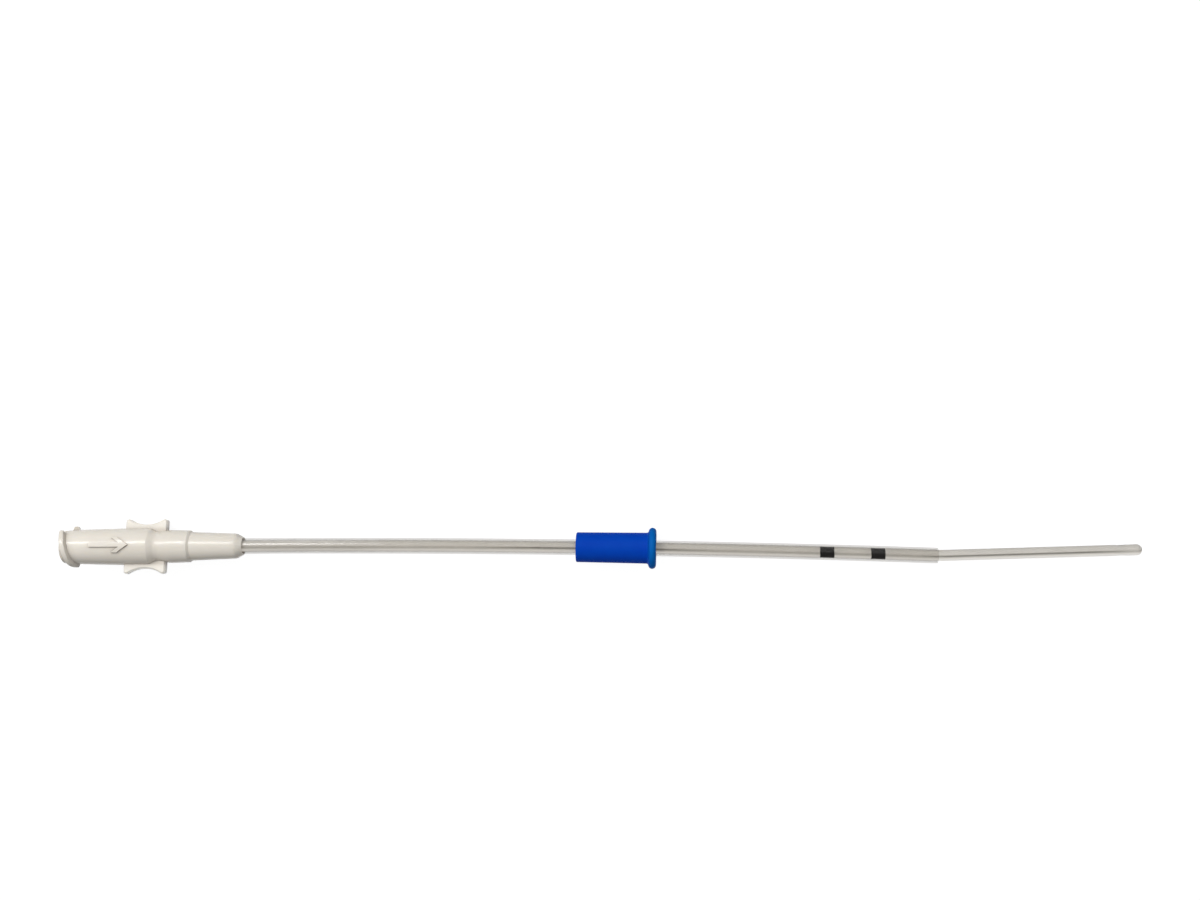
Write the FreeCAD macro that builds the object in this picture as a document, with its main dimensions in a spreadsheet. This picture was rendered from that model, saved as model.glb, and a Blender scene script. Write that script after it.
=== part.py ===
import FreeCAD, Part
import math
import os
import Sketcher

# An insemination catheter, laid down as it comes to rest: a moulded hub with a female luer-lock mouth, a
# stiff outer sheath, a soft inner tube that stands out of it, and a flanged stopper that slides along it.
# The origin is the centre of the luer mouth. +X runs along the hub's axis to the tip, and +Z is up. The hub's
# lugs and the stopper's flange are the same size, so the hub's axis lies all but level, and the catheter has
# rolled over until a wing touches the ground. From the hub's nose the sheath bows in one long even arc, which
# leans with that roll, and the stopper follows the arc.
# Sizes are in millimetres and degrees. A length with no place of its own follows the one before it.

SIZES = {
    # hub outside, from the mouth to the nose
    "rim_radius": 3.08,
    "rim_bevel": 0.3,
    "rim_length": 3.6,
    "barrel_rear_radius": 3.29,
    "barrel_rise_length": 7.4,
    "barrel_radius": 3.48,
    "barrel_length": 5.6,
    "shoulder_length": 1.2,
    "shoulder_round": 0.8,
    "neck_radius": 2.88,
    "neck_length": 0.8,
    "neck_round": 1.5,
    "collar_rise_length": 1.8,
    "collar_radius": 3.14,
    "collar_length": 3.6,
    "collar_end_radius": 3.04,
    "collar_round": 0.2,
    "step_length": 0.4,
    "nose_radius": 2.72,
    "nose_length": 8.5,
    "nose_end_radius": 2.38,
    "nose_round": 1.5,
    "lip_length": 1.2,
    "lip_radius": 1.7,
    # hub inside
    "mouth_radius": 2.15,
    "luer_taper": 0.06,
    "socket_depth": 8.5,
    "funnel_length": 3.0,
    "sheath_seat_depth": 12.0,
    "tube_seat_depth": 9.0,
    # luer-lock lugs, which are two turns of one double thread
    "lug_radius": 3.92,
    "lug_crest_width": 0.8,
    "lug_base_width": 1.6,
    "lug_root_depth": 0.15,
    "lug_crown": 0.07,
    "lug_lead": 5.0,
    "lug_turn": 148.0,
    "lug_start": 0.3,
    "lug_start_turn": 42.0,
    # wings
    "wing_start": 11.7,
    "wing_length": 7.9,
    "wing_half_span": 5.8,
    "wing_valley": 4.2,
    "wing_thickness": 1.5,
    "wing_corner_round": 0.55,
    "wing_edge_bevel": 0.25,
    # raised arrow
    "arrow_start": 5.9,
    "arrow_length": 7.4,
    "arrow_shaft_width": 0.8,
    "arrow_barb_reach": 2.1,
    "arrow_barb_width": 1.1,
    "arrow_half_spread": 1.45,
    "arrow_relief": 0.3,
    # how the catheter lies: the wings' roll, the turn from it back to the bow's plane, and the axis's dip
    "wing_roll": 40.7,
    "bow_turn": 10.0,
    "axis_dip": 0.25,
    # outer sheath
    "sheath_radius": 1.5,
    "sheath_wall": 0.3,
    "sheath_reach": 132.2,
    "bow_radius": 3370.0,
    # inner tube
    "tube_radius": 1.05,
    "tube_wall": 0.45,
    "tube_reach": 38.9,
    "tube_rise": 1.29,
    "bend_radius": 60.0,
    "tip_wall": 1.1,
    "tip_round": 1.0,
    "eye_length": 1.8,
    "eye_width": 0.8,
    "eye_from_tip": 3.2,
    # stopper
    "stopper_place": 63.4,
    "stopper_length": 15.2,
    "stopper_rear_radius": 2.83,
    "stopper_front_radius": 2.94,
    "stopper_clearance": 0.05,
    "stopper_edge_bevel": 0.2,
    "flange_radius": 3.92,
    "flange_thickness": 1.45,
    "flange_foot_bevel": 0.4,
}

doc = FreeCAD.newDocument("insemination_catheter")
sheet = doc.addObject("Spreadsheet::Sheet", "Sizes")
for row, (alias, value) in enumerate(SIZES.items(), start=1):
    sheet.set(f"A{row}", alias.replace("_", " "))
    sheet.set(f"B{row}", str(value))
    sheet.setAlias(f"B{row}", alias)
doc.recompute()


def size(*names):
    """The expression for one size of the sheet, or for the sum of several."""
    return " + ".join(f"Sizes.{name}" for name in names)


HUB_STRETCHES = (
    "rim_length",
    "barrel_rise_length",
    "barrel_length",
    "shoulder_length",
    "neck_length",
    "collar_rise_length",
    "collar_length",
    "step_length",
    "nose_length",
    "lip_length",
)
HUB_LENGTH = size(*HUB_STRETCHES)
SOCKET_END_RADIUS = "Sizes.mouth_radius - Sizes.socket_depth * Sizes.luer_taper / 2"
LUMEN_RADIUS = "Sizes.tube_radius - Sizes.tube_wall"
SHEATH_START = f"{HUB_LENGTH} - Sizes.sheath_seat_depth"
TUBE_START = f"{SHEATH_START} - Sizes.tube_seat_depth"
BOW_ROLL = "(Sizes.wing_roll - Sizes.bow_turn)"
DIPPED = "placement(vector(0; 0; 0); rotation(vector(0; 1; 0); Sizes.axis_dip * 1 deg))"
SAME = 1e-4


def new_body(label):
    body = doc.addObject("PartDesign::Body", label)
    body.Label = label
    return body


def origin_feature(body, role):
    return next(feature for feature in body.Origin.OriginFeatures if feature.Role == role)


def new_sketch(body, name, role="XY_Plane"):
    sketch = body.newObject("Sketcher::SketchObject", name)
    sketch.AttachmentSupport = [(origin_feature(body, role), "")]
    sketch.MapMode = "FlatFace"
    return sketch


def bind(sketch, kind, *places, rough, to):
    """Adds a constraint whose value starts at what was drawn and then follows an expression."""
    index = sketch.addConstraint(Sketcher.Constraint(kind, *places, rough))
    sketch.setExpression(f"Constraints[{index}]", to)


def hold(sketch, point, x, y):
    """Holds a point at x and y, each an expression, "0" or an expression after a minus sign."""
    origin = (-1, 1)
    drawn = sketch.getPoint(*point)
    # the y axis has the index -2 and the x axis -1, and a point at "0" is held on one of them
    for kind, axis, place, rough in (("DistanceX", -2, x, drawn.x), ("DistanceY", -1, y, drawn.y)):
        if place == "0":
            sketch.addConstraint(Sketcher.Constraint("PointOnObject", *point, axis))
        elif place.startswith("-"):
            bind(sketch, kind, *point, *origin, rough=-rough, to=place[1:])
        else:
            bind(sketch, kind, *origin, *point, rough=rough, to=place)


def hold_x(sketch, point, x):
    bind(sketch, "DistanceX", -1, 1, *point, rough=sketch.getPoint(*point).x, to=x)


def bind_radius(sketch, arc, to):
    bind(sketch, "Radius", arc, rough=sketch.Geometry[arc].Radius, to=to)


def polygon(sketch, corners):
    """Draws a closed outline of straight lines through corners, each a pair of expressions."""
    rough = [FreeCAD.Vector(index, index % 2, 0) for index in range(len(corners))]
    for index, start in enumerate(rough):
        end = rough[(index + 1) % len(rough)]
        sketch.addGeometry(Part.LineSegment(start, end), False)
    for index in range(len(corners)):
        following = (index + 1) % len(corners)
        sketch.addConstraint(Sketcher.Constraint("Coincident", index, 2, following, 1))
    for index, (x, y) in enumerate(corners):
        hold(sketch, (index, 1), x, y)


def finish_feature(body, feature):
    doc.recompute()
    body.Tip = feature
    return feature


def revolve(body, name, sketch, kind="Revolution"):
    """Turns a sketch once about the body's X axis, to add it, or as a Groove to cut it away."""
    feature = body.newObject(f"PartDesign::{kind}", name)
    feature.Profile = sketch
    feature.ReferenceAxis = (origin_feature(body, "X_Axis"), [""])
    feature.Angle = 360
    return finish_feature(body, feature)


def pad(body, name, sketch, height):
    """Thickens a sketch equally to both sides of its plane."""
    feature = body.newObject("PartDesign::Pad", name)
    feature.Profile = sketch
    feature.Midplane = True
    feature.setExpression("Length", height)
    return finish_feature(body, feature)


def pipe(body, name, profile, spine, kind="AdditivePipe"):
    """Carries a section along a path sketch, to add it or to cut it away."""
    feature = body.newObject(f"PartDesign::{kind}", name)
    feature.Profile = profile
    feature.Spine = (spine, [f"Edge{i}" for i in range(1, len(spine.Geometry) + 1)])
    return finish_feature(body, feature)


def dress_edges(body, name, wanted, kind, sized, to):
    """Dresses each edge of the body's last feature for which wanted(edge) is true."""
    last = body.Tip
    edges = [f"Edge{i}" for i, edge in enumerate(last.Shape.Edges, start=1) if wanted(edge)]
    feature = body.newObject(f"PartDesign::{kind}", name)
    feature.Base = (last, edges)
    feature.setExpression(sized, to)
    return finish_feature(body, feature)


def round_edges(body, name, radius, wanted):
    return dress_edges(body, name, wanted, "Fillet", "Radius", radius)


def bevel_edges(body, name, width, wanted):
    return dress_edges(body, name, wanted, "Chamfer", "Size", width)


def lay(piece, start_x, roll):
    """Places a piece that was drawn flat along X: at its start, rolled over and dipped to how it lies."""
    rolled = f"placement(vector({start_x}; 0; 0); rotation(vector(1; 0; 0); -{roll} * 1 deg))"
    piece.setExpression("Placement", f"{DIPPED} * {rolled}")


def near(a, b):
    return abs(a - b) < SAME


def ring_at(x, radius):
    """A test for the circular edge of this radius round the X axis, at this x."""

    def wanted(edge):
        curve = edge.Curve
        if not isinstance(curve, Part.Circle):
            return False
        return near(curve.Center.x, x) and near(curve.Center.y, 0) and near(curve.Radius, radius)

    return wanted


def reach(names):
    """The sum of several sizes as a number, for finding an edge."""
    return sum(SIZES[name] for name in names)


def stretches_to(last):
    """The names of the hub's stretches from the mouth up to one of them."""
    return HUB_STRETCHES[: HUB_STRETCHES.index(last) + 1]


# Hub. The barrel, collar and nose are one turned outline, with its corners rounded.
barrel = new_body("hub_barrel")
barrel_outline = new_sketch(barrel, "barrel_outline")
HUB_RADII = (
    "barrel_rear_radius",
    "barrel_radius",
    "barrel_radius",
    "neck_radius",
    "neck_radius",
    "collar_radius",
    "collar_end_radius",
    "nose_radius",
    "nose_end_radius",
    "lip_radius",
)
corners = [("0", "0"), ("0", size("rim_radius"))]
for stretch, radius in zip(HUB_STRETCHES, HUB_RADII):
    corners.append((size(*stretches_to(stretch)), size(radius)))
polygon(barrel_outline, corners + [(HUB_LENGTH, "0")])
revolve(barrel, "barrel_turned", barrel_outline)
ROUNDED_RINGS = (
    ("shoulder_round", "barrel_length", "barrel_radius"),
    ("neck_round", "shoulder_length", "neck_radius"),
    ("neck_round", "neck_length", "neck_radius"),
    ("collar_round", "collar_length", "collar_end_radius"),
    ("nose_round", "nose_length", "nose_end_radius"),
)
for rounding, stretch, radius in ROUNDED_RINGS:
    ring = ring_at(reach(stretches_to(stretch)), SIZES[radius])
    round_edges(barrel, f"{rounding}_after_{stretch}", size(rounding), ring)
bevel_edges(barrel, "rim_bevelled", size("rim_bevel"), ring_at(0, SIZES["rim_radius"]))

# Lugs. One helical lug on the barrel, repeated on the other side and trimmed level with the mouth. The plane
# of its section is turned about the barrel's axis to where the lug begins.
lug_section = new_sketch(barrel, "lug_section")
LUG_PLANE = "placement(vector(0; 0; 0); rotation(vector(1; 0; 0); Sizes.lug_start_turn * 1 deg))"
lug_section.setExpression("AttachmentOffset", LUG_PLANE)
lug_start = size("lug_start")
base = f"{size('lug_base_width')} / 2"
crest = f"{size('lug_crest_width')} / 2"
root = "Sizes.rim_radius - Sizes.lug_root_depth"
edge_radius = "Sizes.lug_radius - Sizes.lug_crown"
LUG_CORNERS = (
    (f"-({base} - {lug_start})", root),
    (f"{base} + {lug_start}", root),
    (f"{crest} + {lug_start}", edge_radius),
    (f"-({crest} - {lug_start})", edge_radius),
)
half_base = SIZES["lug_base_width"] / 2
half_crest = SIZES["lug_crest_width"] / 2
crown_top = SIZES["lug_radius"]
crown_edge = crown_top - SIZES["lug_crown"]
rear_root = FreeCAD.Vector(-half_base, SIZES["rim_radius"])
front_root = FreeCAD.Vector(half_base, SIZES["rim_radius"])
rear_crest = FreeCAD.Vector(-half_crest, crown_edge)
front_crest = FreeCAD.Vector(half_crest, crown_edge)
lug_section.addGeometry(Part.LineSegment(rear_crest, rear_root), False)
lug_section.addGeometry(Part.LineSegment(rear_root, front_root), False)
lug_section.addGeometry(Part.LineSegment(front_root, front_crest), False)
lug_section.addGeometry(Part.Arc(front_crest, FreeCAD.Vector(0, crown_top), rear_crest), False)
for first, second in (((0, 2), (1, 1)), ((1, 2), (2, 1)), ((2, 2), (3, 1)), ((0, 1), (3, 2))):
    lug_section.addConstraint(Sketcher.Constraint("Coincident", *first, *second))
for point, (x, y) in zip(((1, 1), (1, 2), (2, 2), (0, 1)), LUG_CORNERS):
    hold(lug_section, point, x, y)
bind_radius(lug_section, 3, f"(({crest}) ^ 2 + Sizes.lug_crown ^ 2) / (2 * Sizes.lug_crown)")
lug = barrel.newObject("PartDesign::AdditiveHelix", "lug_helix")
lug.Profile = lug_section
lug.ReferenceAxis = (origin_feature(barrel, "X_Axis"), [""])
lug.Mode = "pitch-turns-angle"
lug.setExpression("Pitch", size("lug_lead"))
lug.setExpression("Turns", "Sizes.lug_turn / 360")
finish_feature(barrel, lug)
pair = barrel.newObject("PartDesign::PolarPattern", "lug_pair")
pair.Originals = [lug]
pair.Axis = (origin_feature(barrel, "X_Axis"), [""])
pair.Angle = 360
pair.Occurrences = 2
finish_feature(barrel, pair)
trim = new_sketch(barrel, "mouth_trim")
in_front = "-" + size("lug_base_width")
beyond = size("lug_radius", "lug_radius")
polygon(trim, [("0", "0"), ("0", beyond), (in_front, beyond), (in_front, "0")])
revolve(barrel, "mouth_trimmed", trim, "Groove")

# Wings, one plate through the barrel. Its two outer edges are hollowed by arcs.
wings = new_body("hub_wings")
wings_outline = new_sketch(wings, "wings_outline")
wing_end = size("wing_start", "wing_length")
HOLLOW = "(Sizes.wing_half_span - Sizes.wing_valley)"
HOLLOW_RADIUS = f"(Sizes.wing_length ^ 2 / 4 + {HOLLOW} ^ 2) / (2 * {HOLLOW})"
rear_x = SIZES["wing_start"]
front_x = rear_x + SIZES["wing_length"]
span = SIZES["wing_half_span"]
valley = SIZES["wing_valley"]
middle = (rear_x + front_x) / 2
rear_low, rear_high = FreeCAD.Vector(rear_x, -span, 0), FreeCAD.Vector(rear_x, span, 0)
front_low, front_high = FreeCAD.Vector(front_x, -span, 0), FreeCAD.Vector(front_x, span, 0)
wings_outline.addGeometry(Part.LineSegment(rear_low, rear_high), False)
wings_outline.addGeometry(Part.Arc(rear_high, FreeCAD.Vector(middle, valley, 0), front_high), False)
wings_outline.addGeometry(Part.LineSegment(front_high, front_low), False)
wings_outline.addGeometry(Part.Arc(front_low, FreeCAD.Vector(middle, -valley, 0), rear_low), False)
# arcs run anticlockwise, so the upper one starts at its rear end and the lower one at its front end
for line_end, arc_end in (((0, 2), (1, 1)), ((2, 1), (1, 2)), ((2, 2), (3, 1)), ((0, 1), (3, 2))):
    wings_outline.addConstraint(Sketcher.Constraint("Coincident", *line_end, *arc_end))
hold(wings_outline, (0, 1), size("wing_start"), "-" + size("wing_half_span"))
hold(wings_outline, (0, 2), size("wing_start"), size("wing_half_span"))
hold(wings_outline, (2, 1), wing_end, size("wing_half_span"))
hold(wings_outline, (2, 2), wing_end, "-" + size("wing_half_span"))
bind_radius(wings_outline, 1, HOLLOW_RADIUS)
bind_radius(wings_outline, 3, HOLLOW_RADIUS)
pad(wings, "wings_plate", wings_outline, size("wing_thickness"))


def wing_corner(edge):
    start, end = edge.Vertexes[0].Point, edge.Vertexes[-1].Point
    return near(start.x, end.x) and near(start.y, end.y) and not near(start.z, end.z)


def wing_rim(edge):
    box = edge.BoundBox
    return near(abs(box.ZMin), SIZES["wing_thickness"] / 2) and near(box.ZLength, 0)


round_edges(wings, "wings_corners", size("wing_corner_round"), wing_corner)
bevel_edges(wings, "wings_edges", size("wing_edge_bevel"), wing_rim)

# Arrow. Its outline goes up through a skin that lies a little proud of the barrel.
arrow_body = new_body("hub_arrow_outline")
arrow_outline = new_sketch(arrow_body, "arrow_outline")
tip = size("arrow_start", "arrow_length")
barb_end = f"{tip} - Sizes.arrow_barb_reach"
barb_inner = f"{barb_end} - Sizes.arrow_barb_width"
half_shaft = "Sizes.arrow_shaft_width / 2"
slant = "Sizes.arrow_barb_reach / Sizes.arrow_half_spread"
shaft_end = f"{tip} - Sizes.arrow_barb_width - {half_shaft} * {slant}"
upper = [
    (barb_end, "Sizes.arrow_half_spread"),
    (barb_inner, "Sizes.arrow_half_spread"),
    (shaft_end, half_shaft),
    (size("arrow_start"), half_shaft),
]
lower = [(x, "-" + y) for x, y in reversed(upper)]
polygon(arrow_outline, [(tip, "0")] + upper + lower)
arrow_prism = arrow_body.newObject("PartDesign::Pad", "arrow_prism")
arrow_prism.Profile = arrow_outline
arrow_prism.setExpression("Length", size("barrel_radius", "arrow_relief"))
finish_feature(arrow_body, arrow_prism)

skin = new_body("hub_arrow_skin")
skin_outline = new_sketch(skin, "skin_outline")
rear_skin = size("barrel_rear_radius", "arrow_relief")
full_skin = size("barrel_radius", "arrow_relief")
polygon(
    skin_outline,
    [
        (size(*stretches_to("rim_length")), "0"),
        (size(*stretches_to("rim_length")), rear_skin),
        (size(*stretches_to("barrel_rise_length")), full_skin),
        (size(*stretches_to("barrel_length")), full_skin),
        (size(*stretches_to("barrel_length")), "0"),
    ],
)
revolve(skin, "skin_turned", skin_outline)
arrow = doc.addObject("Part::MultiCommon", "hub_arrow")
arrow.Shapes = [arrow_body, skin]

# Bore. The luer socket, the funnel, the lumen and the stepped seats of the two tubes.
bore = new_body("hub_bore")
bore_outline = new_sketch(bore, "bore_outline")
funnel_end = size("socket_depth", "funnel_length")
polygon(
    bore_outline,
    [
        ("0", "0"),
        ("0", "Sizes.mouth_radius"),
        ("Sizes.socket_depth", SOCKET_END_RADIUS),
        (funnel_end, LUMEN_RADIUS),
        (TUBE_START, LUMEN_RADIUS),
        (TUBE_START, "Sizes.tube_radius"),
        (SHEATH_START, "Sizes.tube_radius"),
        (SHEATH_START, "Sizes.sheath_radius"),
        (HUB_LENGTH, "Sizes.sheath_radius"),
        (HUB_LENGTH, "0"),
    ],
)
revolve(bore, "bore_turned", bore_outline)

outside = doc.addObject("Part::MultiFuse", "hub_outside")
outside.Shapes = [barrel, wings, arrow]
hub = doc.addObject("Part::Cut", "hub")
hub.Base = outside
hub.Tool = bore
hub.Label = "hub"
lay(hub, "0", "Sizes.wing_roll")


# Outer sheath. A straight stretch inside the hub's nose, and then one long even arc.
def start_of_path(sketch, straight, rough_straight):
    """Draws the straight stretch along X and the long arc that leaves it. The arc's far end is its start."""
    radius = SIZES["bow_radius"]
    turn = math.asin(SIZES["sheath_reach"] / radius)
    nose = FreeCAD.Vector(rough_straight, 0, 0)
    circle = Part.Circle(nose - FreeCAD.Vector(0, radius, 0), FreeCAD.Vector(0, 0, 1), radius)
    sketch.addGeometry(Part.LineSegment(FreeCAD.Vector(), nose), False)
    sketch.addGeometry(Part.ArcOfCircle(circle, math.pi / 2 - turn, math.pi / 2), False)
    sketch.addConstraint(Sketcher.Constraint("Coincident", 0, 1, -1, 1))
    hold(sketch, (0, 2), straight, "0")
    sketch.addConstraint(Sketcher.Constraint("Tangent", 0, 2, 1, 2))
    bind_radius(sketch, 1, size("bow_radius"))


def ring_section(body, name, *radii):
    """Draws circles of these radii, each an expression and a rough number, round the start of a path."""
    sketch = new_sketch(body, name, "YZ_Plane")
    for index, (radius, rough) in enumerate(radii):
        sketch.addGeometry(Part.Circle(FreeCAD.Vector(), FreeCAD.Vector(0, 0, 1), rough), False)
        sketch.addConstraint(Sketcher.Constraint("Coincident", index, 3, -1, 1))
        bind_radius(sketch, index, radius)
    return sketch


sheath = new_body("outer_sheath")
sheath_path = new_sketch(sheath, "sheath_path")
start_of_path(sheath_path, size("sheath_seat_depth"), SIZES["sheath_seat_depth"])
hold_x(sheath_path, (1, 1), size("sheath_seat_depth", "sheath_reach"))
sheath_section = ring_section(
    sheath,
    "sheath_section",
    (size("sheath_radius"), SIZES["sheath_radius"]),
    ("Sizes.sheath_radius - Sizes.sheath_wall", SIZES["sheath_radius"] - SIZES["sheath_wall"]),
)
pipe(sheath, "sheath_pipe", sheath_section, sheath_path)
lay(sheath, SHEATH_START, BOW_ROLL)

# Inner tube. It follows the sheath, turns back a little at the sheath's mouth and runs straight to its tip.
STRAIGHT = ("sheath_seat_depth", "tube_seat_depth")
MOUTH_TURN = "(asin(Sizes.sheath_reach / Sizes.bow_radius) + Sizes.tube_rise * 1 deg)"
BEND_START = f"{size(*STRAIGHT, 'sheath_reach')} - Sizes.bend_radius * tan({MOUTH_TURN} / 2)"


def tube_path(name, end, rough_end):
    """Draws the inner tube's path up to an X given as an expression and a rough number."""
    sketch = new_sketch(tube, name)
    start_of_path(sketch, size(*STRAIGHT), reach(STRAIGHT))
    bow, bend = SIZES["bow_radius"], SIZES["bend_radius"]
    fall = math.asin(SIZES["sheath_reach"] / bow)
    rise = math.radians(SIZES["tube_rise"])
    mouth_x = reach(STRAIGHT) + SIZES["sheath_reach"]
    lead = bend * math.tan((fall + rise) / 2)
    along_bow = mouth_x - lead - reach(STRAIGHT)
    leave = FreeCAD.Vector(mouth_x - lead, math.sqrt(bow**2 - along_bow**2) - bow, 0)
    centre = leave + FreeCAD.Vector(math.sin(fall) * bend, math.cos(fall) * bend, 0)
    circle = Part.Circle(centre, FreeCAD.Vector(0, 0, 1), bend)
    sketch.addGeometry(Part.ArcOfCircle(circle, 1.5 * math.pi - fall, 1.5 * math.pi + rise), False)
    bend_end = sketch.getPoint(2, 2)
    run = rough_end - bend_end.x
    last = bend_end + FreeCAD.Vector(run, run * math.tan(rise), 0)
    sketch.addGeometry(Part.LineSegment(bend_end, last), False)
    sketch.addConstraint(Sketcher.Constraint("Tangent", 1, 1, 2, 1))
    sketch.addConstraint(Sketcher.Constraint("Tangent", 2, 2, 3, 1))
    bind_radius(sketch, 2, size("bend_radius"))
    hold_x(sketch, (2, 1), BEND_START)
    bind(sketch, "Angle", 3, rough=rise, to="Sizes.tube_rise * 1 deg")
    hold_x(sketch, (3, 2), end)
    return sketch


tube = new_body("inner_tube")
whole = STRAIGHT + ("sheath_reach", "tube_reach")
TUBE_END = size(*whole)
rod_path = tube_path("tube_path", TUBE_END, reach(whole))
rod_section = ring_section(tube, "tube_section", (size("tube_radius"), SIZES["tube_radius"]))
pipe(tube, "tube_rod", rod_section, rod_path)


def tip_edge(edge):
    return isinstance(edge.Curve, Part.Circle) and edge.CenterOfMass.x > reach(whole) - SIZES["tip_wall"]


round_edges(tube, "tube_tip", size("tip_round"), tip_edge)
lumen_path = tube_path("lumen_path", f"{TUBE_END} - Sizes.tip_wall", reach(whole) - SIZES["tip_wall"])
lumen_rough = SIZES["tube_radius"] - SIZES["tube_wall"]
lumen_section = ring_section(tube, "lumen_section", (LUMEN_RADIUS, lumen_rough))
pipe(tube, "tube_lumen", lumen_section, lumen_path, "SubtractivePipe")

# Two side eyes, one in each side wall, cut in one go by a slot across the tube.
eyes = new_sketch(tube, "eyes_outline", "XZ_Plane")
half_width = SIZES["eye_width"] / 2
rear_x = reach(whole) - SIZES["eye_from_tip"] - SIZES["eye_length"] + half_width
front_x = reach(whole) - SIZES["eye_from_tip"] - half_width
ALONG_Z = FreeCAD.Vector(0, 0, 1)
for x, turn in ((rear_x, 0.5), (front_x, 1.5)):
    circle = Part.Circle(FreeCAD.Vector(x, 0, 0), ALONG_Z, half_width)
    eyes.addGeometry(Part.ArcOfCircle(circle, turn * math.pi, (turn + 1) * math.pi), False)
for side in (-1, 1):
    start, end = FreeCAD.Vector(rear_x, side * half_width, 0), FreeCAD.Vector(front_x, side * half_width, 0)
    eyes.addGeometry(Part.LineSegment(start, end), False)
for arc_end, line_end in (((0, 2), (2, 1)), ((1, 1), (2, 2)), ((0, 1), (3, 1)), ((1, 2), (3, 2))):
    eyes.addConstraint(Sketcher.Constraint("Tangent", *arc_end, *line_end))
EYE_FRONT = f"{TUBE_END} - Sizes.eye_from_tip - Sizes.eye_width / 2"
hold(eyes, (1, 3), EYE_FRONT, "0")
hold(eyes, (0, 3), f"{EYE_FRONT} - Sizes.eye_length + Sizes.eye_width", "0")
bind_radius(eyes, 0, "Sizes.eye_width / 2")
eye_cut = tube.newObject("PartDesign::Pocket", "tube_eyes")
eye_cut.Profile = eyes
eye_cut.Midplane = True
eye_cut.setExpression("Length", "Sizes.sheath_reach")
finish_feature(tube, eye_cut)
lay(tube, TUBE_START, BOW_ROLL)

# Stopper, a turned sleeve with a flange. It lies on the arc of the sheath, square to it at its middle.
stopper = new_body("stopper")
stopper_outline = new_sketch(stopper, "stopper_outline")
half = "Sizes.stopper_length / 2"
flange_start = f"{half} - Sizes.flange_thickness"
bore_radius = size("sheath_radius", "stopper_clearance")
rim_centre = "Sizes.flange_radius - Sizes.flange_thickness / 2"
polygon(
    stopper_outline,
    [
        (f"-{half}", bore_radius),
        (f"-{half}", size("stopper_rear_radius")),
        (flange_start, size("stopper_front_radius")),
        (flange_start, rim_centre),
        (half, rim_centre),
        (half, bore_radius),
    ],
)
# a half circle takes the place of the fourth line, which runs across the rim
rim_rear, rim_front = stopper_outline.getPoint(3, 1), stopper_outline.getPoint(3, 2)
rim_middle = (rim_rear + rim_front) / 2
circle = Part.Circle(rim_middle, FreeCAD.Vector(0, 0, 1), (rim_front - rim_rear).Length / 2)
stopper_outline.setConstruction(3, True)
stopper_outline.addGeometry(Part.ArcOfCircle(circle, 0, math.pi), False)
stopper_outline.addConstraint(Sketcher.Constraint("Coincident", 6, 1, 3, 2))
stopper_outline.addConstraint(Sketcher.Constraint("Coincident", 6, 2, 3, 1))
stopper_outline.addConstraint(Sketcher.Constraint("PointOnObject", 6, 3, 3))
revolve(stopper, "stopper_turned", stopper_outline)
end_x = SIZES["stopper_length"] / 2
flange_x = end_x - SIZES["flange_thickness"]
for name, x, radius in (
    ("stopper_edge_bevel", -end_x, "stopper_rear_radius"),
    ("flange_foot_bevel", flange_x, "stopper_front_radius"),
):
    bevel_edges(stopper, f"{name}_edge", size(name), ring_at(x, SIZES[radius]))
ALONG = f"({size('stopper_place')} + {half})"
ARC_Y = f"sqrt(Sizes.bow_radius ^ 2 - {ALONG} ^ 2) - Sizes.bow_radius"
ON_ARC = (
    f"placement(vector({HUB_LENGTH} + {ALONG}; {ARC_Y}; 0); "
    f"rotation(vector(0; 0; 1); -asin({ALONG} / Sizes.bow_radius)))"
)
LEANING = f"placement(vector(0; 0; 0); rotation(vector(1; 0; 0); -{BOW_ROLL} * 1 deg))"
stopper.setExpression("Placement", f"{DIPPED} * {LEANING} * {ON_ARC}")

doc.recompute()
failed = [thing.Name for thing in doc.Objects if {"Invalid", "Error"} & set(thing.State)]
if failed:
    raise RuntimeError(f"failed: {failed}")
pieces = (hub, sheath, tube, stopper)
for piece in pieces:
    if piece.Shape.isNull() or not piece.Shape.isValid() or len(piece.Shape.Solids) != 1:
        raise RuntimeError(f"{piece.Label} is not one valid solid")
os.makedirs("parts", exist_ok=True)
for piece in pieces:
    piece.Shape.exportStep(f"parts/{piece.Label}.step")
    box = piece.Shape.optimalBoundingBox()
    print(f"{piece.Label}: {piece.Shape.Volume:.2f} mm3, X {box.XMin:.2f} to {box.XMax:.2f}")
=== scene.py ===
# %% [markdown]
# # An insemination catheter, dressed around its CAD frame
#
# The real object is a small moulded hub with a luer-lock mouth, a stiff outer sheath, a soft inner tube
# that stands out of the sheath, and a blue stopper that slides along it. The CAD model gives the true
# sizes. This lesson makes smooth surfaces for the four pieces, gives each its plastic, and lights them from
# above.

# %% Load the frame
import math

import bmesh
import bpy
import numpy as np
from mathutils import Matrix, Vector


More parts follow.
